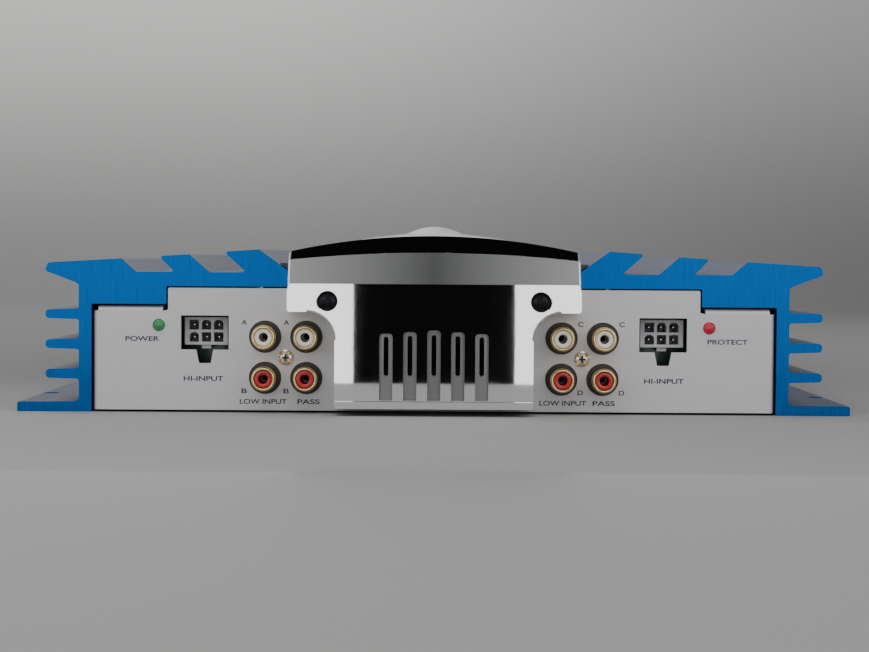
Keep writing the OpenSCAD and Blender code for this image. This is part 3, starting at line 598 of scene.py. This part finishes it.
def plated_cap(node):
    """A cap with broad rounded rims and small rounded edges elsewhere."""
    mesh = clean_copy(node, 12.0)
    work = bmesh.new()
    work.from_mesh(mesh)
    round_edges(work, on_side, 1.4, 6)
    round_edges(work, on_outline, 0.8, 5)
    work.to_mesh(mesh)
    work.free()
    smooth(mesh, 19.0)
    piece = new_piece(node + "_plated", mesh, node)
    soften(piece, 0.22, 2, CAP_BEND)
    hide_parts(node)


# ---- Build ----

# Width in mm and segments of each node's rounded edges, and their least bend if it isn't the usual one
SOFT_EDGES = {
    "heatsink": (0.22, 2), "base_plate": (0.15, 2), "front_panel": (0.12, 2), "rear_panel": (0.12, 2),
    "top_cover": (0.45, 4, 12.0), "cover_boss": (0.2, 2, 30.0), "cover_seals": (0.1, 1),
    "cap_screws": (0.2, 2), "base_screws": (0.1, 1), "jack_screws": (0.12, 2),
    "jack_block_left": (0.2, 2), "jack_block_right": (0.2, 2),
    "input_socket_left": (0.2, 2), "input_socket_right": (0.2, 2), "socket_pins": (0.15, 2),
    "power_lamp": (0.08, 1), "protect_lamp": (0.08, 1),
    "power_block": (0.35, 2), "speaker_block": (0.3, 2), "fuse_holder": (0.3, 2),
    "fuse_a": (0.3, 2), "fuse_b": (0.3, 2),
    "power_clamp_screws": (0.15, 2), "speaker_clamp_screws": (0.1, 2),
    "gain_shaft_ab": (0.15, 2), "filter_shaft_ab": (0.15, 2),
    "filter_shaft_cd": (0.15, 2), "gain_shaft_cd": (0.15, 2),
    "filter_slider_ab": (0.12, 2), "filter_slider_cd": (0.12, 2),
}


# Nodes that a piece built for them stands for
MADE_ANEW = {"jack_collars", "white_inserts", "red_inserts", "front_cap", "rear_cap"}


def build():
    for node in SLOT_OF:
        if node in SOFT_EDGES:
            refine(node, *SOFT_EDGES[node])
        elif node not in MADE_ANEW:
            keep(node)
    turned_jacks()
    plated_cap("front_cap")
    plated_cap("rear_cap")
    print_labels()


build()


# ---- Floor and backdrop ----

# The sweep's front edge, where it starts to curve up, the curve's radius, its top and its half width,
# all in metres
SWEEP_FRONT = -3.0
SWEEP_BEND = 1.1
SWEEP_RADIUS = 0.7
SWEEP_TOP = 3.5
SWEEP_HALF = 3.5
SWEEP_STEPS = 16


def grey(value):
    return (value,) * 3


def staged(name, mesh, finish):
    """Links a mesh as a part of the studio."""
    mesh.materials.append(finish.material)
    item = bpy.data.objects.new(name, mesh)
    bpy.context.scene.collection.objects.link(item)
    return item


def sweep_paper():
    """Grey paper with painted light and shade: a painted shadow close beside and behind the amplifier,
    painted shade towards the right, and painted light paler up the backdrop.
    """
    f = Finish("sweep_paper", grey(0.5), 0.85)
    at = split(f.tree, own_place(f.tree))
    far = f.ramp(at["Y"], 0.0, SWEEP_BEND)
    height = f.ramp(at["Z"], 0.0, 0.55)
    # Painted shadow on the floor beside and just behind the amplifier, painted shade towards the right,
    # painted light higher up
    near = f.mix(f.ramp(at["X"], -0.05, 0.3), (0.25, 0.25, 0.247), grey(0.17))
    shadow_beside = f.mix(f.ramp(at["Y"], -0.16, 0.03), near, grey(0.17))
    floor = f.mix(far, shadow_beside, grey(0.235))
    left_paper = f.mix(height, floor, (0.88, 0.87, 0.85))
    shaded_right_paper = f.mix(height, grey(0.16), grey(0.50))
    right = add_math(f.tree, "MULTIPLY", f.ramp(at["X"], -0.3, 0.6), far)
    f.feed(f.mix(right, left_paper, shaded_right_paper), "Base Color")
    return f


def sweep():
    """A floor that curves up into a backdrop behind the amplifier."""
    profile = [(SWEEP_FRONT, 0.0), (SWEEP_BEND, 0.0)]
    for k in range(1, SWEEP_STEPS + 1):
        a = pi / 2 * k / SWEEP_STEPS
        profile.append((SWEEP_BEND + SWEEP_RADIUS * sin(a), SWEEP_RADIUS - SWEEP_RADIUS * cos(a)))
    profile.append((SWEEP_BEND + SWEEP_RADIUS, SWEEP_TOP))
    verts = [(side * SWEEP_HALF, y, z) for y, z in profile for side in (-1, 1)]
    faces = [(2 * i, 2 * i + 1, 2 * i + 3, 2 * i + 2) for i in range(len(profile) - 1)]
    mesh = bpy.data.meshes.new("sweep")
    mesh.from_pydata(verts, [], faces)
    mesh.shade_smooth()
    staged("sweep", mesh, sweep_paper())


# ---- Reflected cards ----

# How far the cards stand in front of the caps, and the top of the lower row, in metres
CARD_AWAY = 0.165
CARD_TOP = 0.15
# Half width of the dark gap, and the outer edges of the white, the graded and the low side cards
GAP_HALF = 0.034
WHITE_EDGE = 0.3
GRADED_EDGE = 0.5
LOW_EDGE = 0.9


def reflected_card(name, corners, middle, sides=None, blend_width=1.0):
    """A glowing card that only shows in bright metal, graded from its middle to its sides."""
    mesh = bpy.data.meshes.new(name)
    mesh.from_pydata(corners, [], [tuple(range(len(corners)))])
    f = Finish(name, grey(0), 1.0, 0.0, Emission_Strength=1.0, Specular_IOR_Level=0.0)
    at = split(f.tree, own_place(f.tree))
    out = add_math(f.tree, "ABSOLUTE", at["X"], 0.0)
    share = add_math(f.tree, "DIVIDE", out, blend_width, clamp=True)
    f.feed(f.mix(share, grey(middle), grey(middle if sides is None else sides)), "Emission Color")
    item = staged(name, mesh, f)
    item.visible_camera = False
    item.visible_diffuse = False
    item.visible_transmission = False
    item.visible_shadow = False


def mirror_surround():
    """What the bright caps mirror: a dark gap between white cards, a graded card above, a dark roof."""
    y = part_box("front_cap")[0].y - CARD_AWAY

    def facing_cap(name, x0, x1, z0, z1, *glow):
        reflected_card(name, [(x0, y, z0), (x1, y, z0), (x1, y, z1), (x0, y, z1)], *glow)

    facing_cap("dark_gap", -GAP_HALF, GAP_HALF, 0.0, CARD_TOP, 0.004)
    facing_cap("white_left", -WHITE_EDGE, -GAP_HALF, 0.0, CARD_TOP, 1.7)
    facing_cap("white_right", GAP_HALF, WHITE_EDGE, 0.0, CARD_TOP, 1.7)
    facing_cap("graded", -GRADED_EDGE, GRADED_EDGE, CARD_TOP, 0.5, 0.085, 0.34, 0.07)
    facing_cap("side_left_low", -LOW_EDGE, -WHITE_EDGE, 0.0, CARD_TOP, 0.01)
    facing_cap("side_right_low", WHITE_EDGE, LOW_EDGE, 0.0, CARD_TOP, 0.01)
    for name, x in (("side_left", -0.55), ("side_right", 0.55)):
        reflected_card(name, [(x, -0.35, 0.1), (x, 0.35, 0.1), (x, 0.35, 0.7), (x, -0.35, 0.7)], 1.0)
    roof = [(-0.45, -0.12, 0.8), (0.45, -0.12, 0.8), (0.45, 0.5, 0.8), (-0.45, 0.5, 0.8)]
    reflected_card("dark_roof", roof, 0.003)


# ---- Light and camera ----

ROOM_LIGHT = 0.35
# The camera's distance from the input panel and its height, in metres, its tilt and roll, in degrees,
# and its lens, in mm
CAMERA_AWAY = 0.65
CAMERA_HEIGHT = 0.0532
CAMERA_TILT = 2.06
CAMERA_ROLL = -0.36
CAMERA_LENS = 79.4


def area_light(name, place, aim, width, height, power):
    data = bpy.data.lights.new(name, "AREA")
    data.shape = "RECTANGLE"
    data.size = width
    data.size_y = height
    data.energy = power
    item = bpy.data.objects.new(name, data)
    item.location = place
    item.rotation_euler = (Vector(aim) - Vector(place)).to_track_quat("-Z", "Y").to_euler()
    bpy.context.scene.collection.objects.link(item)
    return item


def light_room():
    world = bpy.data.worlds.new("room")
    world.use_nodes = True
    background = world.node_tree.nodes["Background"]
    background.inputs["Color"].default_value = (1, 1, 1, 1)
    background.inputs["Strength"].default_value = ROOM_LIGHT
    bpy.context.scene.world = world
    area_light("top_box", (0, -0.9, 1.5), (0, -0.1, 0), 1.6, 1.0, 16)
    area_light("left_box", (-1.3, -0.8, 0.7), (0, -0.1, 0), 0.9, 1.0, 7)
    wash = area_light("back_wash", (-0.5, 0.35, 1.7), (0, 1.8, 0.25), 1.6, 0.5, 14)
    wash.visible_glossy = False
    area_light("right_box", (1.3, -0.8, 0.7), (0, -0.1, 0), 0.9, 1.0, 8.5)


def set_camera():
    """A long lens in front of the input end, tipped down a little."""
    data = bpy.data.cameras.new("view")
    data.sensor_width = 36.0
    data.lens = CAMERA_LENS
    data.clip_end = 20
    item = bpy.data.objects.new("view", data)
    item.location = (0, PANEL_FACE - CAMERA_AWAY, CAMERA_HEIGHT)
    item.rotation_euler = (radians(90 - CAMERA_TILT), radians(CAMERA_ROLL), 0)
    bpy.context.scene.collection.objects.link(item)
    bpy.context.scene.camera = item


sweep()
mirror_surround()
light_room()
set_camera()
